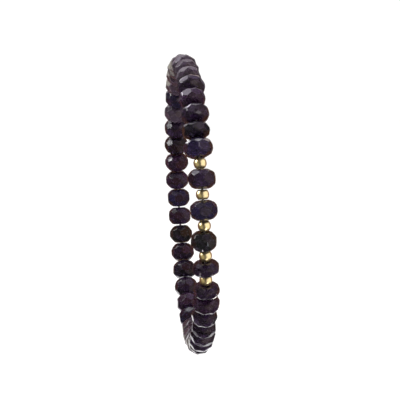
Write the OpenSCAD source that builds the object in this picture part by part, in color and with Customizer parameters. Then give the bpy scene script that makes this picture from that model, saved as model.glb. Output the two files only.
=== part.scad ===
// Stretch bracelet of drilled, faceted sapphire rondelles with five round gold spacer beads.
// It stands as it is worn: the loop lies in the YZ plane, X runs along the wrist, -Y is the front
// and +Z is up. The origin is the middle of the loop, which is the middle of the wrist.
// Lengths along the thread start at the front-most point and grow downwards.

/* [Loop] */
// Half the height of the thread's oval
loop_half_h = 33.3; // [32.5:0.1:34]
// Half the depth of the thread's oval
loop_half_d = 26.2; // [25.6:0.1:27]
// Radius of the thread's tighter bends, above and below the wrist
bend_r = 22.9; // [22.2:0.1:23.2]

/* [Sapphires] */
// Width of the stones behind the wrist
stone_w = 6.1; // [5.8:0.05:6.3]
// Width of the flat table round each hole
table_w = 3; // [2.8:0.1:3.2]
// Facets in each ring of a stone
facet_count = 8; // [8:1:10]
// Diameter of the hole through each stone
stone_bore = 1.2; // [1.1:0.05:1.3]
// Slope of the facets next to the table, from square to the hole
break_slope = 27; // [25:1:30]
// Slope of the main facets, from square to the hole
main_slope = 53; // [50:1:56]
// Unevenness of the hand cutting, as an angle
cut_error = 3; // [0:0.5:4]

/* [Gold beads] */
// Diameter of a gold bead
bead_d = 2.9; // [2.8:0.05:3.1]
// Length of a gold bead between its flat ends
bead_len = 2.15; // [2.05:0.05:2.2]
// Diameter of the hole through a gold bead
bead_bore = 1.1; // [1:0.05:1.2]

/* [Thread] */
// Diameter of the stretch thread
thread_d = 0.5; // [0.4:0.05:0.6]

/* [Fit] */
// Space left where two neighbours come closest
clearance = 0.12; // [0.1:0.01:0.15]

/* [Hidden] */
$fn = 48;

// The stones that face forwards, from the top down, one row each
WIDTH = 0;      // across the facets
THICKNESS = 1;  // between the two tables
LEAN = 2;       // degrees out of square to the thread, right side up
SWAY = 3;       // sideways on the thread
TURN = 4;       // degrees round the thread
BEAD_BELOW = 5; // 1 if a gold bead follows
FRONT_STONES = [
    [5.7, 3.90, 0.0, 0.00, 10, 0],
    [6.0, 3.80, -1.0, 0.05, 33, 0],
    [5.8, 3.45, 1.0, 0.05, 4, 0],
    [5.8, 3.25, 0.0, 0.00, 21, 0],
    [6.5, 3.30, -2.5, 0.10, 12, 0],
    [6.1, 3.50, 1.5, -0.10, 18, 0],
    [6.4, 3.85, 3.0, 0.10, 26, 0],
    [6.2, 3.45, 1.0, -0.20, 8, 0],
    [6.6, 4.15, 3.0, -0.10, 17, 1],
    [6.3, 4.25, -2.5, 0.10, 30, 1],
    [6.3, 4.25, 2.5, 0.05, 0, 1],
    [5.9, 4.25, 0.0, -0.25, 31, 1],
    [6.3, 3.30, 3.0, 0.05, 36, 1],
    [6.0, 3.00, 0.0, 0.20, 14, 0],
    [6.3, 3.80, -1.5, 0.15, 28, 0],
    [6.0, 3.70, 1.0, -0.15, 6, 0],
    [5.9, 3.40, 0.0, -0.10, 38, 0],
    [6.0, 3.35, -1.0, -0.10, 19, 0],
    [5.9, 3.70, 1.0, -0.15, 31, 0],
    [5.7, 3.95, 0.0, -0.10, 2, 0],
];
// The front-most stone, and how far its middle lies from the loop's front-most point
mid_row = 10;
mid_place = -3.5;
// Stones that close the loop behind the wrist
hidden_count = 20;

// The oval is two wide arcs, front and back, and two tighter ones, below and above
side_r = ((loop_half_h - bend_r) ^ 2 + loop_half_d ^ 2 - bend_r ^ 2) / (2 * (loop_half_d - bend_r));
side_half_sweep = atan2(loop_half_h - bend_r, side_r - loop_half_d);
side_len = side_r * 2 * side_half_sweep * PI / 180;
bend_len = bend_r * (180 - 2 * side_half_sweep) * PI / 180;
loop_len = 2 * (side_len + bend_len);

// One row for each arc: where it starts along the thread, its radius, its first bearing and its centre.
// A bearing is 0 at the front, 90 at the bottom, 180 at the back and 270 at the top.
ARC_START = 0;
ARC_RADIUS = 1;
ARC_BEARING = 2;
ARC_CENTRE = 3;
ARCS = [
    [0, side_r, -side_half_sweep, [side_r - loop_half_d, 0]],
    [side_len, bend_r, side_half_sweep, [0, bend_r - loop_half_h]],
    [side_len + bend_len, side_r, 180 - side_half_sweep, [loop_half_d - side_r, 0]],
    [2 * side_len + bend_len, bend_r, 180 + side_half_sweep, [0, loop_half_h - bend_r]],
];

// Length along the thread, brought into one turn that starts where the front arc does
function wrapped(place) =
    let (start = place + side_len / 2)
    start - loop_len * floor(start / loop_len);
function arc_at(place) =
    max([for (i = [0:3]) if (wrapped(place) >= ARCS[i][ARC_START]) i]);
function radius_at(place) = ARCS[arc_at(place)][ARC_RADIUS];
function bearing_at(place) =
    let (arc = ARCS[arc_at(place)])
    arc[ARC_BEARING] + (wrapped(place) - arc[ARC_START]) / arc[ARC_RADIUS] * 180 / PI;
// Depth and height of the thread there
function point_at(place) =
    let (arc = ARCS[arc_at(place)], bearing = bearing_at(place))
    arc[ARC_CENTRE] - arc[ARC_RADIUS] * [cos(bearing), sin(bearing)];

// Neighbours on a bend come closest at the inner edge of their flat ends, so a bend widens the gap
nominal_pitch = 4.3;
function tightest_at(place) = min(radius_at(place - nominal_pitch), radius_at(place + nominal_pitch));
function gap_at(place, flat_w) = clearance + flat_w / 2 * nominal_pitch / tightest_at(place);
bead_flat_w = 2 * sqrt((bead_d / 2) ^ 2 - (bead_len / 2) ^ 2);

// Distance along the thread from the middle of one front stone to the middle of the next
function step_down(row, place) =
    let (
        halves = (FRONT_STONES[row][THICKNESS] + FRONT_STONES[row + 1][THICKNESS]) / 2,
        bead = FRONT_STONES[row][BEAD_BELOW]
    )
    halves + (bead == 1 ? bead_len + 2 * gap_at(place, bead_flat_w) : gap_at(place, table_w));
function places_down(row, place) =
    row == len(FRONT_STONES) - 1
        ? [place]
        : concat([place], places_down(row + 1, place + step_down(row, place)));
function places_up(row, place) =
    row == 0
        ? [place]
        : concat(places_up(row - 1, place - step_down(row - 1, place)), [place]);
below_mid = places_down(mid_row, mid_place);
above_mid = places_up(mid_row - 1, mid_place - step_down(mid_row - 1, mid_place));
front_places = concat(above_mid, below_mid);
front_count = len(FRONT_STONES);
stone_count = front_count + hidden_count;

// The hidden stones share what is left of the loop
hidden_start = front_places[front_count - 1] + FRONT_STONES[front_count - 1][THICKNESS] / 2;
hidden_end = front_places[0] - FRONT_STONES[0][THICKNESS] / 2 + loop_len;
hidden_gap = gap_at(hidden_start, table_w);
hidden_pitch = (hidden_end - hidden_start - hidden_gap) / hidden_count;
hidden_t = hidden_pitch - hidden_gap;
function hidden_place(i) = hidden_start + hidden_gap / 2 + (i + 0.5) * hidden_pitch;

// A number between -spread and spread, the same one each time for the same seed
function chance(seed, spread) = rands(-spread, spread, 1, seed)[0];
stone_seeds = 10;
ring_seeds = 500;
column_seeds = 100;
slope_seeds = 50;
depth_seeds = 90;

// Half the turn from one facet of a ring to the next
half_step = 180 / facet_count;

// The same rows for the hidden stones, which vary a little, as the front ones do
hidden_lean = 1.5;
hidden_sway = 0.1;
hidden_w_spread = 0.15;
HIDDEN_STONES = [
    for (i = [0:hidden_count - 1])
        [
            stone_w + chance(i, hidden_w_spread),
            hidden_t,
            chance(i + LEAN * column_seeds, hidden_lean),
            chance(i + SWAY * column_seeds, hidden_sway),
            chance(i + TURN * column_seeds, half_step),
            0,
        ]
];
STONES = concat(FRONT_STONES, HIDDEN_STONES);
stone_places = concat(front_places, [for (i = [0:hidden_count - 1]) hidden_place(i)]);

// The gold beads lie just past the stones whose row says so
bead_rows = [for (i = [0:front_count - 1]) if (FRONT_STONES[i][BEAD_BELOW] == 1) i];
function bead_place(row) =
    let (place = front_places[row], stone_t = FRONT_STONES[row][THICKNESS])
    place + stone_t / 2 + gap_at(place, bead_flat_w) + bead_len / 2;

// Shape of a stone, as shares of its width and thickness: where its main facets meet the belt
belt_r = 0.49;
belt_h = 0.3;
// Unevenness of the hand cutting, as a depth
cut_depth_error = 0.04;
// The blank that a stone is ground from is a little wider than the stone
blank_share = 1.1;
// Blocks that cut a piece are wider than it, and holes run on past its ends
rough_w = 20;
past = 1;

// The thread's tube
thread_rings = 80;
thread_sides = 8;

function two_digits(n) = n < 10 ? str("0", n) : str(n);
function stone_name(i) = str("sapphire_", two_digits(i + 1));
function bead_name(i) = str("gold_bead_", i + 1);

// Sets a piece on the thread, its own Z pointing back up along it
module on_thread(place, lean = 0, sway = 0, turn = 0) {
    spot = point_at(place);
    translate([sway, spot.x, spot.y])
        rotate([bearing_at(place), 0, 0])
            rotate([0, -lean, 0])
                rotate([0, 0, turn])
                    children();
}

// What grinding one facet leaves, which is all that lies inside a plane at this turn and slope
module ground_flat(turn, slope, distance) {
    rotate([0, slope, turn])
        translate([distance - rough_w, -rough_w / 2, -rough_w / 2])
            cube(rough_w);
}

// One ring of facets, each a little out of true
module facet_ring(slope, distance, first_turn, seed) {
    intersection_for(i = [0:facet_count - 1])
        ground_flat(
            first_turn + i * 2 * half_step + chance(seed + i, cut_error),
            slope + chance(seed + i + slope_seeds, cut_error),
            distance + chance(seed + i + depth_seeds, cut_depth_error)
        );
}

// A rondelle has a belt of facets, then main facets and break facets up to the table at each end
module rondelle(width, thickness, seed) {
    belt_distance = width / 2 * cos(half_step);
    main_distance = belt_r * width * sin(main_slope) + belt_h / 2 * thickness * cos(main_slope);
    break_distance = table_w / 2 * sin(break_slope) + thickness / 2 * cos(break_slope);
    difference() {
        intersection() {
            cylinder(d = width * blank_share, h = thickness, center = true);
            facet_ring(0, belt_distance, 0, seed);
            facet_ring(main_slope - 90, main_distance, half_step, seed + 2 * ring_seeds);
            facet_ring(90 - main_slope, main_distance, half_step, seed + 3 * ring_seeds);
            facet_ring(break_slope - 90, break_distance, 0, seed + 4 * ring_seeds);
            facet_ring(90 - break_slope, break_distance, 0, seed + 5 * ring_seeds);
        }
        cylinder(d = stone_bore, h = thickness + 2 * past, center = true);
    }
}

module sapphire(i) {
    row = STONES[i];
    color("midnightblue")
        on_thread(stone_places[i], row[LEAN], row[SWAY], row[TURN])
            rondelle(row[WIDTH], row[THICKNESS], stone_seeds * i);
}

module gold_bead(i) {
    color("goldenrod")
        on_thread(bead_place(bead_rows[i]))
            difference() {
                intersection() {
                    sphere(d = bead_d);
                    cylinder(d = rough_w, h = bead_len, center = true);
                }
                cylinder(d = bead_bore, h = bead_len + 2 * past, center = true);
            }
}

// One closed tube swept round the oval, with no free end
module elastic_thread() {
    corners = [
        for (i = [0:thread_rings - 1])
            let (place = i * loop_len / thread_rings, spot = point_at(place), bearing = bearing_at(place))
            for (side = [0:thread_sides - 1])
                let (
                    out = thread_d / 2 * cos(side * 360 / thread_sides),
                    across = thread_d / 2 * sin(side * 360 / thread_sides)
                )
                [across, spot.x - out * cos(bearing), spot.y - out * sin(bearing)]
    ];
    walls = [
        for (i = [0:thread_rings - 1])
            for (side = [0:thread_sides - 1])
                let (next_ring = (i + 1) % thread_rings, next_side = (side + 1) % thread_sides)
                [
                    i * thread_sides + side,
                    i * thread_sides + next_side,
                    next_ring * thread_sides + next_side,
                    next_ring * thread_sides + side,
                ]
    ];
    color("whitesmoke")
        polyhedron(corners, walls);
}

for (i = [0:stone_count - 1])
    sapphire(i);
for (i = [0:len(bead_rows) - 1])
    gold_bead(i);
elastic_thread();
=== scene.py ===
"""Stretch bracelet of dark faceted sapphires and gold spacer beads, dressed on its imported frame."""

import math

import bmesh
import bpy
from mathutils import Matrix, Vector

bl_info = {
    "name": "Sapphire bracelet",
    "version": (1, 0, 0),
    "blender": (4, 5, 0),
    "location": "View3D > Sidebar > Bracelet",
    "description": "Dresses the strung stones, the gold beads and the stretch thread, and sets the stage",
    "category": "Object",
}

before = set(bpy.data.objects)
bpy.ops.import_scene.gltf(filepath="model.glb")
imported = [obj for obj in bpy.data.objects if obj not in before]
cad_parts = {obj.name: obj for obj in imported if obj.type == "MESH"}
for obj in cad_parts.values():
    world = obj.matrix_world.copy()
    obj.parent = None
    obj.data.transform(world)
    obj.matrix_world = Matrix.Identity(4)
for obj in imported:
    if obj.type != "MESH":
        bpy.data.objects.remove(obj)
bpy.context.view_layer.update()

MM = 0.001
STONES = sorted(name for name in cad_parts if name.startswith("sapphire_"))
GOLD_BEADS = sorted(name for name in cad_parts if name.startswith("gold_bead_"))
THREAD = "elastic_thread"


def numbered(*numbers):
    """The names of the stones that have these numbers."""
    return [f"sapphire_{number:02d}" for number in numbers]


# Rough sapphire comes in lots of mixed tone: these stones differ from the rest, which are violet
OTHER_TONES = {
    "blue": numbered(9, 11, 24, 31, 37),
    "plum": numbered(6, 15, 25, 33),
    "smoky": numbered(1, 2, 3, 4, 21, 22, 23, 36, 38, 39, 40),
    "black": numbered(8, 20, 27, 34),
    "green_black": numbered(12, 29),
}
# These rub on table tops when the bracelet is worn, so their edges are more worn
RUBBED = numbered(5, 7, *range(13, 25))

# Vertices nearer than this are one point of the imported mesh
WELD_REACH = 0.001 * MM
# Triangles that differ by less than this belong to one facet
SAME_FACET = math.radians(0.8)
# Edges that turn by more than this are worn round, or rolled round on the gold
FACET_TURN = math.radians(14)
RIM_TURN = math.radians(20)
# Each worn edge and rolled rim has this many steps across it, and takes the second finish of its piece
EDGE_STEPS = 4
RIM_STEPS = 3
SECOND_FINISH = 1

# The picture is 400 pixels wide and 419 high. The middle of the loop lies at this pixel of it.
PICTURE_W = 400
PICTURE_H = 419
LOOP_MIDDLE = (189.9, 205.4)
PIXELS_PER_METRE = 4166.0
SENSOR_WIDTH = 36
NEAREST_SEEN = 0.01

# The pale dish. In metres, the radius of the pinhole at its middle, of its flat floor, and of the round
# between floor and wall, and the height of the wall. Then the steps all round it, and up the round.
DISH = "pale_dish"
DISH_PINHOLE = 0.0001
DISH_FLAT = 0.9
DISH_ROUND = 0.5
DISH_TOP = 2.2
DISH_STEPS_ROUND = 96
DISH_STEPS_UP = 16

ROOM_COLOUR = "#4b4442"

# Upright cards that only the reflections see. The brown ones, inside the loop and behind it, give the stones
# their warm dark edges; the white ones beyond draw the bright lines on the stones below and above.
# Name, distance behind the loop's middle, half width, height of the lower and of the upper edge, all in
# metres, then the colour at the left, the colour at the right, and the brightness.
CARDS = (
    ("brown_card_inside", -0.012, 0.06, -0.024, 0.020, "#452b23", "#996948", 1.0),
    ("brown_card_behind", 0.036, 0.10, -0.031, 0.027, "#452b23", "#906145", 1.0),
    ("white_card_low", 0.12, 0.10, -0.16, -0.045, "#fffcff", "#fffcff", 2.0),
    ("white_card_high", 0.30, 0.30, 0.06, 0.75, "#c4b6c2", "#c4b6c2", 1.0),
)

# What the lamps light: no names stand for every piece
EVERY = ()
UPPER_STONES = STONES[:10]
TOP_AND_BOTTOM_STONES = STONES[:1] + STONES[19:23] + STONES[37:]
LOWER_STONES = STONES[12:16]
LOWEST_STONES = STONES[16:20]
CEILING_LIT = STONES[:4] + STONES[5:] + GOLD_BEADS
WINDOW_LIT = STONES[1:12] + STONES[20:] + GOLD_BEADS

# Soft lamps. A small one that lights a single stone draws one mark on it, a facet or a worn edge.
# Name, direction from the loop's middle as the picture has it (right, up, toward the camera), distance, width
# and height in metres, radiance, colour, the pieces that it lights, and the only pieces that stop its light.
LAMPS = (
    ("window_left", (-0.817, 0.565, 0.104), 0.30, 0.07, 0.07, 12.0, "#ffffff", WINDOW_LIT, EVERY),
    ("window_behind", (-0.435, 0.587, -0.682), 0.294, 0.095, 0.08, 5.0, "#ffffff", STONES[4:], EVERY),
    ("pale_left", (-0.91, -0.05, -0.41), 0.35, 0.30, 0.50, 2.7, "#f6f2dc", TOP_AND_BOTTOM_STONES, EVERY),
    ("ceiling", (-0.15, 0.93, -0.28), 0.35, 0.34, 0.20, 1.1, "#ffffff", CEILING_LIT, EVERY),
    ("ceiling_lamp", (-0.071, 0.990, -0.118), 0.313, 0.08, 0.07, 2.0, "#ffffff", EVERY, EVERY),
    ("skylight", (-0.55, 0.82, 0.12), 0.32, 0.10, 0.10, 2.6, "#f4eefc", UPPER_STONES, EVERY),
    ("pale_right", (0.47, -0.30, 0.82), 0.32, 0.09, 0.10, 0.6, "#ffe8f0", STONES, EVERY),
    ("violet_right", (0.59, 0.69, 0.41), 0.32, 0.10, 0.10, 0.45, "#e8d0f4", STONES, EVERY),
    ("table_shine", (0.01, -0.777, -0.63), 0.305, 0.40, 0.20, 4.0, "#ffffff", LOWER_STONES, EVERY),
    ("table_glow", (0.22, -0.76, -0.62), 0.305, 0.26, 0.20, 1.9, "#ffffff", LOWEST_STONES, EVERY),
    ("table_spot", (0.50, -0.62, -0.60), 0.305, 0.18, 0.16, 12.0, "#fff8f0", numbered(13, 14), EVERY),
    ("haze", (0.0, 0.93, 0.36), 0.35, 0.40, 0.20, 0.35, "#eadee8", STONES, EVERY),
    ("strip_lamp", (-0.52, 0.85, -0.12), 0.31, 0.12, 0.14, 11.0, "#f0e8f8", numbered(7), [DISH]),
    ("facet_lamp", (-0.58, 0.76, -0.30), 0.31, 0.10, 0.10, 2.0, "#f0e8f8", numbered(5), EVERY),
    ("rim_lamp", (0.20, 0.78, -0.59), 0.31, 0.12, 0.10, 5.0, "#ffe9cf", numbered(5), [DISH]),
    ("corner_lamp", (-0.78, 0.52, -0.36), 0.31, 0.11, 0.13, 22.0, "#f8f2ff", numbered(6), [DISH]),
    ("lilac_top", (0.25, 0.95, -0.19), 0.31, 0.14, 0.14, 0.5, "#e0ccf4", numbered(5), [DISH]),
    ("right_front", (0.42, -0.30, 0.86), 0.26, 0.07, 0.07, 1.2, "#f0f0ff", numbered(7), EVERY),
    ("low_front", (0.46, -0.40, 0.79), 0.31, 0.16, 0.16, 3.0, "#e6ecff", numbered(12), numbered(12)),
    ("streak_low", (-0.10, -0.965, -0.25), 0.31, 0.05, 0.05, 30.0, "#fff4ff", numbered(12), numbered(12)),
    ("dot_low", (-0.62, -0.68, 0.39), 0.31, 0.05, 0.05, 20.0, "#fff0f0", numbered(13), numbered(13)),
    ("high_front", (0.08, 0.45, 0.89), 0.26, 0.10, 0.10, 3.5, "#f0e8f8", numbered(9), EVERY),
    ("cool_front", (0.41, 0.61, 0.68), 0.31, 0.12, 0.12, 0.2, "#dfe8f4", numbered(8), EVERY),
    ("lamp_behind", (0.36, 0.65, -0.67), 0.28, 0.08, 0.08, 1.8, "#ffeedc", EVERY, EVERY),
    ("warm_right", (0.80, 0.05, 0.60), 0.35, 0.70, 0.70, 0.22, "#ffe0c6", STONES, EVERY),
    ("gold_right", (0.90, 0.12, 0.42), 0.35, 0.86, 0.80, 1.2, "#fffae8", GOLD_BEADS, EVERY),
    ("gold_left", (-0.88, 0.40, 0.20), 0.32, 0.16, 0.16, 4.0, "#fffae8", GOLD_BEADS, EVERY),
    ("gold_low", (-0.70, -0.30, 0.60), 0.35, 0.40, 0.40, 0.38, "#f6edb8", GOLD_BEADS, EVERY),
    ("gold_spot", (0.38, -0.80, 0.46), 0.31, 0.08, 0.08, 8.5, "#fff6e4", GOLD_BEADS, GOLD_BEADS),
    ("overhead", (0.0, 1.0, 0.0), 1.6, 2.0, 2.0, 1.1, "#ffffff", EVERY, EVERY),
    ("fill", (0.0, 0.3, 1.0), 0.9, 0.8, 0.8, 0.4, "#ffffff", EVERY, EVERY),
    ("wall_wash", (0.0, 0.5, 0.87), 1.1, 1.2, 1.2, 3.0, "#ffffff", [DISH], EVERY),
)
# These light the surfaces, but nothing mirrors them
UNMIRRORED_LAMPS = ("overhead", "fill", "wall_wash")

# Sockets of a mix node that mixes colours: its two colours, and what comes out
COLOUR_A = 6
COLOUR_B = 7
COLOUR_MIXED = 2


def linear(hex_colour):
    """Turns an sRGB hex colour into the linear values that a shader takes."""
    values = [int(hex_colour[i:i + 2], 16) / 255 for i in (1, 3, 5)]
    return [v / 12.92 if v <= 0.04045 else ((v + 0.055) / 1.055) ** 2.4 for v in values] + [1.0]


def colour_setting(name, description, hex_colour):
    """A colour for the panel, with its default in sRGB hex."""
    return bpy.props.FloatVectorProperty(
        name=name,
        description=description,
        subtype="COLOR",
        size=4,
        min=0.0,
        max=1.0,
        default=linear(hex_colour),
    )


def length_setting(name, description, millimetres):
    """A length for the panel, with its default in millimetres."""
    return bpy.props.FloatProperty(
        name=name,
        description=description,
        subtype="DISTANCE",
        unit="LENGTH",
        precision=5,
        min=0.0,
        default=millimetres * MM,
    )


def angle_setting(name, description, degrees):
    """An angle for the panel, with its default in degrees."""
    return bpy.props.FloatProperty(
        name=name, description=description, subtype="ANGLE", default=math.radians(degrees)
    )


class StoneSettings(bpy.types.PropertyGroup):
    """Finish of the sapphires."""

    edge: length_setting("Worn edge", "Width of the worn strip along each facet edge", 0.20)
    rubbed_edge: length_setting("Rubbed edge", "The same for the stones that rub on table tops", 0.30)
    violet: colour_setting("Violet", "Body colour of most of the stones", "#1a0c22")
    blue: colour_setting("Blue", "Body colour of the bluest stones", "#130e2a")
    plum: colour_setting("Plum", "Body colour of the reddest stones", "#240e27")
    smoky: colour_setting("Smoky", "Body colour of the paler, cloudier stones", "#3f3440")
    black: colour_setting("Black", "Body colour of the darkest stones", "#0b0716")
    green_black: colour_setting("Green black", "Body colour of the greenish stones", "#0d1110")
    glow: colour_setting("Glow", "Lighter violet where light gets into the stone", "#3d2a4c")
    veil: colour_setting("Veil", "Colour of the veils of tiny inclusions", "#8a769a")


class GoldSettings(bpy.types.PropertyGroup):
    """Shape and finish of the gold beads."""

    rim: length_setting("Rim", "Radius of the rolled rim round each hole", 0.07)
    gold: colour_setting("Gold", "Colour of the polished gold", "#f3e3ba")
    tarnish: colour_setting("Tarnish", "Colour of the gold in the hollows", "#a0824a")


class ThreadSettings(bpy.types.PropertyGroup):
    """Finish of the stretch thread."""

    clear: colour_setting("Clear", "Colour of the stretch thread", "#9c968a")
    milky: colour_setting("Milky", "Colour where the thread has gone milky", "#7a7468")


class StageSettings(bpy.types.PropertyGroup):
    """Where the camera stands, and the pale dish that the bracelet is seen against."""

    away: length_setting("Camera distance", "Distance of the camera from the middle of the loop", 270.3)
    left: angle_setting("Left", "How far the camera stands to the left of the loop's front", 6.38)
    high: angle_setting("High", "How far the camera looks down", 10.34)
    tilt: angle_setting("Tilt", "How far the camera is turned about its own line of sight", 2.83)
    drop: length_setting("Floor drop", "Depth of the floor below the middle of the loop", 80)
    pale: colour_setting("Pale", "Colour of the floor and wall", "#f7f7f7")


def add_node(tree, kind, settings=None, links=None):
    """Adds a node, gives it its options and constants, and links its other inputs."""
    node = tree.nodes.new(kind)
    for key, value in (settings or {}).items():
        if isinstance(key, int) or key in node.inputs:
            node.inputs[key].default_value = value
        else:
            setattr(node, key, value)
    for key, output in (links or {}).items():
        tree.links.new(output, node.inputs[key])
    return node


def new_material(name):
    """A node material that is still empty."""
    material = bpy.data.materials.new(name)
    material.use_nodes = True
    material.node_tree.nodes.clear()
    return material, material.node_tree


def sapphire_material(name, body, settings, worn):
    """Sapphire ground on a hand-held wheel: glassy, all but opaque, cloudy where light gets in."""
    material, tree = new_material(name)
    place = add_node(tree, "ShaderNodeTexCoord").outputs["Object"]
    face = add_node(tree, "ShaderNodeNewGeometry").outputs["True Normal"]
    # Every stone comes from another crystal, so the patterns differ from stone to stone
    crystal = add_node(tree, "ShaderNodeObjectInfo").outputs["Random"]

    # Colour zones about 2.4 mm across, as the crystal took up its colour unevenly
    zones = add_node(
        tree,
        "ShaderNodeTexNoise",
        {"noise_dimensions": "4D", "Scale": 420, "Detail": 3, "Roughness": 0.55},
        {"Vector": place, "W": crystal},
    )
    zone_share = add_node(
        tree,
        "ShaderNodeMapRange",
        {"From Min": 0.44, "From Max": 0.66, "To Max": 0.36},
        {"Value": zones.outputs["Fac"]},
    )
    zoned = add_node(
        tree, "ShaderNodeMix", {"data_type": "RGBA", COLOUR_A: body, COLOUR_B: settings.glow},
        {"Factor": zone_share.outputs["Result"]},
    )
    # Painted light: each facet is made lighter or darker by the way it faces, in a pattern that differs from
    # stone to stone, as a painted stand-in for the light that the inside of the stone sends back; the most
    # shaded facets are about half as bright
    painted_shade_body = [0.55 * part for part in body[:3]] + [1.0]
    tone = add_node(
        tree,
        "ShaderNodeTexNoise",
        {"noise_dimensions": "4D", "Scale": 2.2, "Detail": 0},
        {"Vector": face, "W": crystal},
    )
    painted_light_share = add_node(
        tree,
        "ShaderNodeMapRange",
        {"From Min": 0.38, "From Max": 0.62, "To Max": 0.85},
        {"Value": tone.outputs["Fac"]},
    )
    painted_light_mixed = add_node(
        tree,
        "ShaderNodeMix",
        {"data_type": "RGBA", COLOUR_B: painted_shade_body},
        {"Factor": painted_light_share.outputs["Result"], COLOUR_A: zoned.outputs[COLOUR_MIXED]},
    )
    # Growth bands about 0.8 mm apart, which run straight across the facets
    bands = add_node(
        tree,
        "ShaderNodeTexWave",
        {"Scale": 390, "Distortion": 2.5, "Detail": 2, "Detail Scale": 1.5, "bands_direction": "DIAGONAL"},
        {"Vector": place},
    )
    band_share = add_node(
        tree,
        "ShaderNodeMapRange",
        {"From Min": 0.5, "From Max": 1.0, "To Max": 0.09},
        {"Value": bands.outputs["Fac"]},
    )
    banded = add_node(
        tree, "ShaderNodeMix", {"data_type": "RGBA", COLOUR_B: settings.glow},
        {"Factor": band_share.outputs["Result"], COLOUR_A: painted_light_mixed.outputs[COLOUR_MIXED]},
    )
    # Veils of tiny inclusions, 0.3 to 0.6 mm across
    veils = add_node(
        tree,
        "ShaderNodeTexNoise",
        {"noise_dimensions": "4D", "Scale": 1900, "Detail": 5, "Roughness": 0.62, "Distortion": 0.6},
        {"Vector": place, "W": crystal},
    )
    most_veiled = 0.26 if worn else 0.19
    veil_share = add_node(
        tree,
        "ShaderNodeMapRange",
        {"From Min": 0.58, "From Max": 0.76, "To Max": most_veiled},
        {"Value": veils.outputs["Fac"]},
    )
    veiled = add_node(
        tree, "ShaderNodeMix", {"data_type": "RGBA", COLOUR_B: settings.veil},
        {"Factor": veil_share.outputs["Result"], COLOUR_A: banded.outputs[COLOUR_MIXED]},
    )

    # Polish is uneven, because a hand-held stone skips on the wheel, and worn edges have lost it
    smoothest, roughest = (0.22, 0.34) if worn else (0.13, 0.25)
    smears = add_node(tree, "ShaderNodeTexNoise", {"Scale": 1100, "Detail": 3}, {"Vector": place})
    rough = add_node(
        tree,
        "ShaderNodeMapRange",
        {"From Min": 0.3, "From Max": 0.7, "To Min": smoothest, "To Max": roughest},
        {"Value": smears.outputs["Fac"]},
    )
    # Facets ground by hand swell a little, in waves 1.5 mm long and 0.01 mm deep
    swell = add_node(tree, "ShaderNodeTexNoise", {"Scale": 650, "Detail": 1}, {"Vector": place})
    swell_bump = add_node(tree, "ShaderNodeBump", {"Distance": 0.03 * MM}, {"Height": swell.outputs["Fac"]})
    # Polishing lines, really under 0.01 mm apart, drawn coarser at 0.12 mm so that they show
    lines = add_node(
        tree,
        "ShaderNodeTexWave",
        {"Scale": 2600, "Distortion": 3.0, "Detail": 2, "bands_direction": "X"},
        {"Vector": place},
    )
    fine_bump = add_node(
        tree,
        "ShaderNodeBump",
        {"Distance": 0.0006 * MM},
        {"Height": lines.outputs["Fac"], "Normal": swell_bump.outputs["Normal"]},
    )
    shader = add_node(
        tree,
        "ShaderNodeBsdfPrincipled",
        {"IOR": 1.77},
        {
            "Base Color": veiled.outputs[COLOUR_MIXED],
            "Roughness": rough.outputs["Result"],
            "Normal": fine_bump.outputs["Normal"],
        },
    )
    add_node(tree, "ShaderNodeOutputMaterial", links={"Surface": shader.outputs["BSDF"]})
    return material


def gold_material(name, gold, tarnish, worn):
    """Gold rolled over a bead and tumbled smooth: bright, softly mirrored, duller where nothing rubs it."""
    material, tree = new_material(name)
    place = add_node(tree, "ShaderNodeTexCoord").outputs["Object"]
    # Thin tarnish in clouds about 1 mm across
    clouds = add_node(
        tree, "ShaderNodeTexNoise", {"Scale": 1000, "Detail": 4, "Roughness": 0.6}, {"Vector": place}
    )
    least, most = (0.2, 0.5) if worn else (0.0, 0.22)
    share = add_node(
        tree,
        "ShaderNodeMapRange",
        {"From Min": 0.45, "From Max": 0.75, "To Min": least, "To Max": most},
        {"Value": clouds.outputs["Fac"]},
    )
    colour = add_node(
        tree, "ShaderNodeMix", {"data_type": "RGBA", COLOUR_A: gold, COLOUR_B: tarnish},
        {"Factor": share.outputs["Result"]},
    )
    # Rolling leaves the thin wall a little out of round, in flats about 0.7 mm across and 0.03 mm deep
    flats = add_node(
        tree,
        "ShaderNodeTexVoronoi",
        {"Scale": 1500, "feature": "SMOOTH_F1", "Smoothness": 0.9},
        {"Vector": place},
    )
    flat_bump = add_node(
        tree, "ShaderNodeBump", {"Distance": 0.05 * MM}, {"Height": flats.outputs["Distance"]}
    )
    # Tumbling leaves dents about 0.15 mm across
    dents = add_node(
        tree,
        "ShaderNodeTexVoronoi",
        {"Scale": 6500, "feature": "SMOOTH_F1", "Smoothness": 0.8},
        {"Vector": place},
    )
    dent_bump = add_node(
        tree,
        "ShaderNodeBump",
        {"Strength": 0.35, "Distance": 0.01 * MM},
        {"Height": dents.outputs["Distance"], "Normal": flat_bump.outputs["Normal"]},
    )
    # Hair scratches, really finer, drawn 0.05 mm wide
    hairs = add_node(
        tree,
        "ShaderNodeTexWave",
        {"Scale": 5200, "Distortion": 9.0, "Detail": 3, "Detail Scale": 0.6, "bands_direction": "Z"},
        {"Vector": place},
    )
    hair_bump = add_node(
        tree,
        "ShaderNodeBump",
        {"Strength": 0.5, "Distance": 0.0008 * MM},
        {"Height": hairs.outputs["Fac"], "Normal": dent_bump.outputs["Normal"]},
    )
    smoothest, roughest = (0.36, 0.46) if worn else (0.26, 0.36)
    rough = add_node(
        tree,
        "ShaderNodeMapRange",
        {"From Min": 0.3, "From Max": 0.75, "To Min": smoothest, "To Max": roughest},
        {"Value": clouds.outputs["Fac"]},
    )
    shader = add_node(
        tree,
        "ShaderNodeBsdfPrincipled",
        {"Metallic": 1.0},
        {
            "Base Color": colour.outputs[COLOUR_MIXED],
            "Roughness": rough.outputs["Result"],
            "Normal": hair_bump.outputs["Normal"],
        },
    )
    add_node(tree, "ShaderNodeOutputMaterial", links={"Surface": shader.outputs["BSDF"]})
    return material


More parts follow.
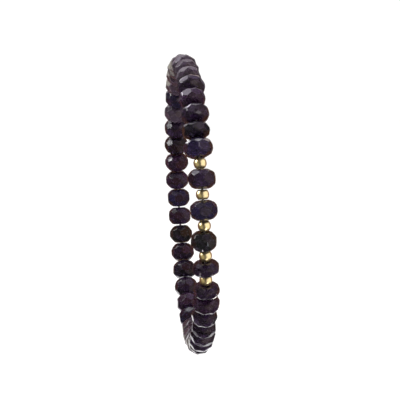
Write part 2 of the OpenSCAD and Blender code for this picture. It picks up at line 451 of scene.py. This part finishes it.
def thread_material(name, clear, milky):
    """Stretch thread drawn from clear plastic: milky, with a soft sheen."""
    material, tree = new_material(name)
    place = add_node(tree, "ShaderNodeTexCoord").outputs["Object"]
    # Milky spots 0.4 mm across, where the plastic has been stretched
    milk = add_node(tree, "ShaderNodeTexNoise", {"Scale": 2500, "Detail": 3}, {"Vector": place})
    share = add_node(
        tree,
        "ShaderNodeMapRange",
        {"From Min": 0.3, "From Max": 0.7, "To Max": 0.35},
        {"Value": milk.outputs["Fac"]},
    )
    colour = add_node(
        tree, "ShaderNodeMix", {"data_type": "RGBA", COLOUR_A: clear, COLOUR_B: milky},
        {"Factor": share.outputs["Result"]},
    )
    draw = add_node(
        tree, "ShaderNodeBump", {"Strength": 0.4, "Distance": 0.004 * MM}, {"Height": milk.outputs["Fac"]}
    )
    rough = add_node(
        tree,
        "ShaderNodeMapRange",
        {"From Min": 0.3, "From Max": 0.7, "To Min": 0.28, "To Max": 0.42},
        {"Value": milk.outputs["Fac"]},
    )
    shader = add_node(
        tree,
        "ShaderNodeBsdfPrincipled",
        {"IOR": 1.5, "Transmission Weight": 0.45},
        {
            "Base Color": colour.outputs[COLOUR_MIXED],
            "Roughness": rough.outputs["Result"],
            "Normal": draw.outputs["Normal"],
        },
    )
    add_node(tree, "ShaderNodeOutputMaterial", links={"Surface": shader.outputs["BSDF"]})
    return material


def matt_paint(pale):
    """Pale wall paint put on with a roller: matt, with the fine orange-peel that the roller leaves."""
    material, tree = new_material("matt_paint")
    place = add_node(tree, "ShaderNodeTexCoord").outputs["Object"]
    # Orange-peel 1.5 mm across
    peel = add_node(tree, "ShaderNodeTexNoise", {"Scale": 650, "Detail": 2}, {"Vector": place})
    peel_bump = add_node(tree, "ShaderNodeBump", {"Distance": 0.02 * MM}, {"Height": peel.outputs["Fac"]})
    shader = add_node(
        tree,
        "ShaderNodeBsdfPrincipled",
        {"Base Color": pale, "Roughness": 0.9},
        {"Normal": peel_bump.outputs["Normal"]},
    )
    add_node(tree, "ShaderNodeOutputMaterial", links={"Surface": shader.outputs["BSDF"]})
    return material


def card_material(name, left, right, brightness):
    """Plain card that glows with its own light, in a colour that runs from one side to the other."""
    material, tree = new_material(name)
    across = add_node(tree, "ShaderNodeTexCoord").outputs["Generated"]
    side = add_node(tree, "ShaderNodeSeparateXYZ", links={"Vector": across})
    colour = add_node(
        tree,
        "ShaderNodeMix",
        {"data_type": "RGBA", COLOUR_A: linear(left), COLOUR_B: linear(right)},
        {"Factor": side.outputs["X"]},
    )
    light = add_node(
        tree, "ShaderNodeEmission", {"Strength": brightness}, {"Color": colour.outputs[COLOUR_MIXED]}
    )
    add_node(tree, "ShaderNodeOutputMaterial", links={"Surface": light.outputs["Emission"]})
    return material


def join_faces(piece, finishes):
    """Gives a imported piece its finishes, and makes its mesh whole."""
    piece.data.materials.clear()
    for finish in finishes:
        piece.data.materials.append(finish)
    weld = piece.modifiers.new("Join faces", "WELD")
    weld.merge_threshold = WELD_REACH


class BRACELET_OT_stones(bpy.types.Operator):
    """Soften the facet edges of the sapphires and give each its colour"""

    bl_idname = "bracelet.stones"
    bl_label = "Sapphires"

    def execute(self, context):
        settings = context.scene.bracelet_stones
        finishes = {}
        for tone in ("violet", *OTHER_TONES):
            body = getattr(settings, tone)
            finishes[tone] = (
                sapphire_material(f"{tone}_sapphire_ground_facets", body, settings, False),
                sapphire_material(f"{tone}_sapphire_worn_edges", body, settings, True),
            )
        for name in STONES:
            tone = next((tone for tone, names in OTHER_TONES.items() if name in names), "violet")
            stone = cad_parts[name]
            join_faces(stone, finishes[tone])
            whole = stone.modifiers.new("Whole facets", "DECIMATE")
            whole.decimate_type = "DISSOLVE"
            whole.angle_limit = SAME_FACET
            edge = stone.modifiers.new("Worn edges", "BEVEL")
            edge.width = settings.rubbed_edge if name in RUBBED else settings.edge
            edge.segments = EDGE_STEPS
            edge.limit_method = "ANGLE"
            edge.angle_limit = FACET_TURN
            edge.use_clamp_overlap = False
            edge.material = SECOND_FINISH
            edge.harden_normals = True
        return {"FINISHED"}


class BRACELET_OT_gold(bpy.types.Operator):
    """Roll the rims of the gold beads and give them their finish"""

    bl_idname = "bracelet.gold"
    bl_label = "Gold beads"

    def execute(self, context):
        settings = context.scene.bracelet_gold
        finishes = (
            gold_material("gold_tumbled_bright", settings.gold, settings.tarnish, False),
            gold_material("gold_tarnished_rim", settings.gold, settings.tarnish, True),
        )
        for name in GOLD_BEADS:
            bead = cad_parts[name]
            join_faces(bead, finishes)
            rim = bead.modifiers.new("Rolled rims", "BEVEL")
            rim.width = settings.rim
            rim.segments = RIM_STEPS
            rim.limit_method = "ANGLE"
            rim.angle_limit = RIM_TURN
            rim.material = SECOND_FINISH
            bead.modifiers.new("Even shading", "WEIGHTED_NORMAL")
        return {"FINISHED"}


class BRACELET_OT_thread(bpy.types.Operator):
    """Make the stretch thread's mesh whole and give it its finish"""

    bl_idname = "bracelet.thread"
    bl_label = "Stretch thread"

    def execute(self, context):
        settings = context.scene.bracelet_thread
        finish = thread_material("thread_drawn_plastic", settings.clear, settings.milky)
        join_faces(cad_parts[THREAD], [finish])
        return {"FINISHED"}


def grid_mesh(name, points, columns, closed):
    """A smooth sheet through a grid of points, given row by row, that can close round on itself."""
    bm = bmesh.new()
    corners = [bm.verts.new(point) for point in points]
    for start in range(0, len(points) - columns, columns):
        for here in range(columns if closed else columns - 1):
            after = (here + 1) % columns
            below = (start + here, start + after)
            above = (start + columns + after, start + columns + here)
            bm.faces.new([corners[i] for i in below + above])
    mesh = bpy.data.meshes.new(name)
    bm.to_mesh(mesh)
    bm.free()
    for polygon in mesh.polygons:
        polygon.use_smooth = True
    return mesh


def collection_of(name, pieces):
    """A collection that only says which pieces a lamp's light or shadow is for."""
    collection = bpy.data.collections.new(name)
    for piece in pieces:
        collection.objects.link(piece)
    return collection


class BRACELET_OT_stage(bpy.types.Operator):
    """Set the floor, the lights and the camera"""

    bl_idname = "bracelet.stage"
    bl_label = "Stage"

    def execute(self, context):
        self.scene = context.scene
        self.settings = context.scene.bracelet_stage
        self.scene.view_settings.view_transform = "Standard"
        self.find_axes()
        self.add_room()
        self.add_camera()
        dish = self.add_dish()
        for card in CARDS:
            self.add_card(*card)
        pieces = {**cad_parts, DISH: dish}
        for lamp in LAMPS:
            self.add_lamp(pieces, *lamp)
        return {"FINISHED"}

    def find_axes(self):
        """Finds the camera's line of sight, and the picture's right and up."""
        left, high, tilt = self.settings.left, self.settings.high, self.settings.tilt
        self.ahead = Vector((
            math.cos(high) * math.sin(left),
            math.cos(high) * math.cos(left),
            -math.sin(high),
        ))
        level = Vector((math.cos(left), -math.sin(left), 0))
        upright = level.cross(self.ahead)
        self.right = level * math.cos(tilt) - upright * math.sin(tilt)
        self.up = level * math.sin(tilt) + upright * math.cos(tilt)

    def add_room(self):
        """Adds the dim warm light of the room."""
        world = bpy.data.worlds.new("dim_warm_room")
        world.use_nodes = True
        world.node_tree.nodes["Background"].inputs["Color"].default_value = linear(ROOM_COLOUR)
        self.scene.world = world

    def add_camera(self):
        """Adds the camera, aimed so that the loop's middle lies where the picture has it."""
        place = -self.ahead * self.settings.away
        aim = (
            self.right * (PICTURE_W / 2 - LOOP_MIDDLE[0]) - self.up * (PICTURE_H / 2 - LOOP_MIDDLE[1])
        ) / PIXELS_PER_METRE
        look = (aim - place).normalized()
        side = look.cross(self.up).normalized()
        turn = Matrix((side, side.cross(look), -look)).transposed().to_4x4()
        camera = bpy.data.objects.new("camera", bpy.data.cameras.new("camera"))
        camera.matrix_world = Matrix.Translation(place) @ turn
        camera.data.sensor_fit = "HORIZONTAL"
        camera.data.sensor_width = SENSOR_WIDTH
        camera.data.lens = PIXELS_PER_METRE * self.settings.away * SENSOR_WIDTH / PICTURE_W
        camera.data.clip_start = NEAREST_SEEN
        self.scene.collection.objects.link(camera)
        self.scene.camera = camera

    def add_dish(self):
        """Adds a pale dish: a flat floor, and a wall that curves up all round it."""
        profile = [(DISH_PINHOLE, 0.0), (DISH_FLAT / 2, 0.0)]
        for step in range(DISH_STEPS_UP + 1):
            angle = math.pi / 2 * step / DISH_STEPS_UP
            outward = DISH_FLAT + DISH_ROUND * math.sin(angle)
            profile.append((outward, DISH_ROUND - DISH_ROUND * math.cos(angle)))
        profile.append((DISH_FLAT + DISH_ROUND, DISH_TOP))
        angles = [2 * math.pi * step / DISH_STEPS_ROUND for step in range(DISH_STEPS_ROUND)]
        points = [
            (radius * math.cos(angle), radius * math.sin(angle), height - self.settings.drop)
            for radius, height in profile
            for angle in angles
        ]
        dish = bpy.data.objects.new(DISH, grid_mesh(DISH, points, DISH_STEPS_ROUND, True))
        dish.data.materials.append(matt_paint(self.settings.pale))
        dish.visible_glossy = False
        self.scene.collection.objects.link(dish)
        return dish

    def add_card(self, name, behind, half_width, lower, upper, left, right, brightness):
        """Adds an upright card; the columns of CARDS say what it takes."""
        points = [(side * half_width, behind, height) for height in (lower, upper) for side in (-1, 1)]
        sheet = bpy.data.objects.new(name, grid_mesh(name, points, 2, False))
        sheet.data.materials.append(card_material(name, left, right, brightness))
        sheet.visible_camera = False
        sheet.visible_diffuse = False
        sheet.visible_shadow = False
        sheet.visible_transmission = False
        self.scene.collection.objects.link(sheet)

    def add_lamp(self, pieces, name, toward, distance, width, height, radiance, colour, only, shades):
        """Adds a lamp that faces the loop's middle; the columns of LAMPS say what it takes."""
        way = (self.right * toward[0] + self.up * toward[1] - self.ahead * toward[2]).normalized()
        data = bpy.data.lights.new(name, "AREA")
        data.shape = "RECTANGLE"
        data.size = width
        data.size_y = height
        # A flat lamp sends out pi times its radiance from each square metre
        data.energy = radiance * math.pi * width * height
        data.color = linear(colour)[:3]
        lamp = bpy.data.objects.new(name, data)
        turn = way.to_track_quat("Z", "Y").to_matrix().to_4x4()
        lamp.matrix_world = Matrix.Translation(way * distance) @ turn
        lamp.visible_camera = False
        lamp.visible_glossy = name not in UNMIRRORED_LAMPS
        if only:
            lit = collection_of(name + "_lights", [pieces[piece] for piece in only])
            lamp.light_linking.receiver_collection = lit
        if shades:
            shading = collection_of(name + "_shades", [pieces[piece] for piece in shades])
            lamp.light_linking.blocker_collection = shading
        self.scene.collection.objects.link(lamp)


class BRACELET_PT_panel(bpy.types.Panel):
    """The bracelet's operators and what they can be given."""

    bl_idname = "BRACELET_PT_panel"
    bl_label = "Sapphire bracelet"
    bl_space_type = "VIEW_3D"
    bl_region_type = "UI"
    bl_category = "Bracelet"

    def draw(self, context):
        for operator, group, settings in STEPS:
            box = self.layout.box()
            box.operator(operator)
            for name in settings.__annotations__:
                box.prop(getattr(context.scene, group), name)


# Each operator in the order of the work, with the name and the class of its settings
STEPS = (
    ("bracelet.stones", "bracelet_stones", StoneSettings),
    ("bracelet.gold", "bracelet_gold", GoldSettings),
    ("bracelet.thread", "bracelet_thread", ThreadSettings),
    ("bracelet.stage", "bracelet_stage", StageSettings),
)
CLASSES = tuple(settings for operator, group, settings in STEPS) + (
    BRACELET_OT_stones,
    BRACELET_OT_gold,
    BRACELET_OT_thread,
    BRACELET_OT_stage,
    BRACELET_PT_panel,
)


def register():
    for cls in CLASSES:
        bpy.utils.register_class(cls)
    for operator, group, settings in STEPS:
        setattr(bpy.types.Scene, group, bpy.props.PointerProperty(type=settings))


def unregister():
    for operator, group, settings in STEPS:
        delattr(bpy.types.Scene, group)
    for cls in reversed(CLASSES):
        bpy.utils.unregister_class(cls)


def main():
    register()
    bpy.ops.bracelet.stones()
    bpy.ops.bracelet.gold()
    bpy.ops.bracelet.thread()
    bpy.ops.bracelet.stage()
    bpy.context.view_layer.update()


if __name__ == "__main__":
    main()
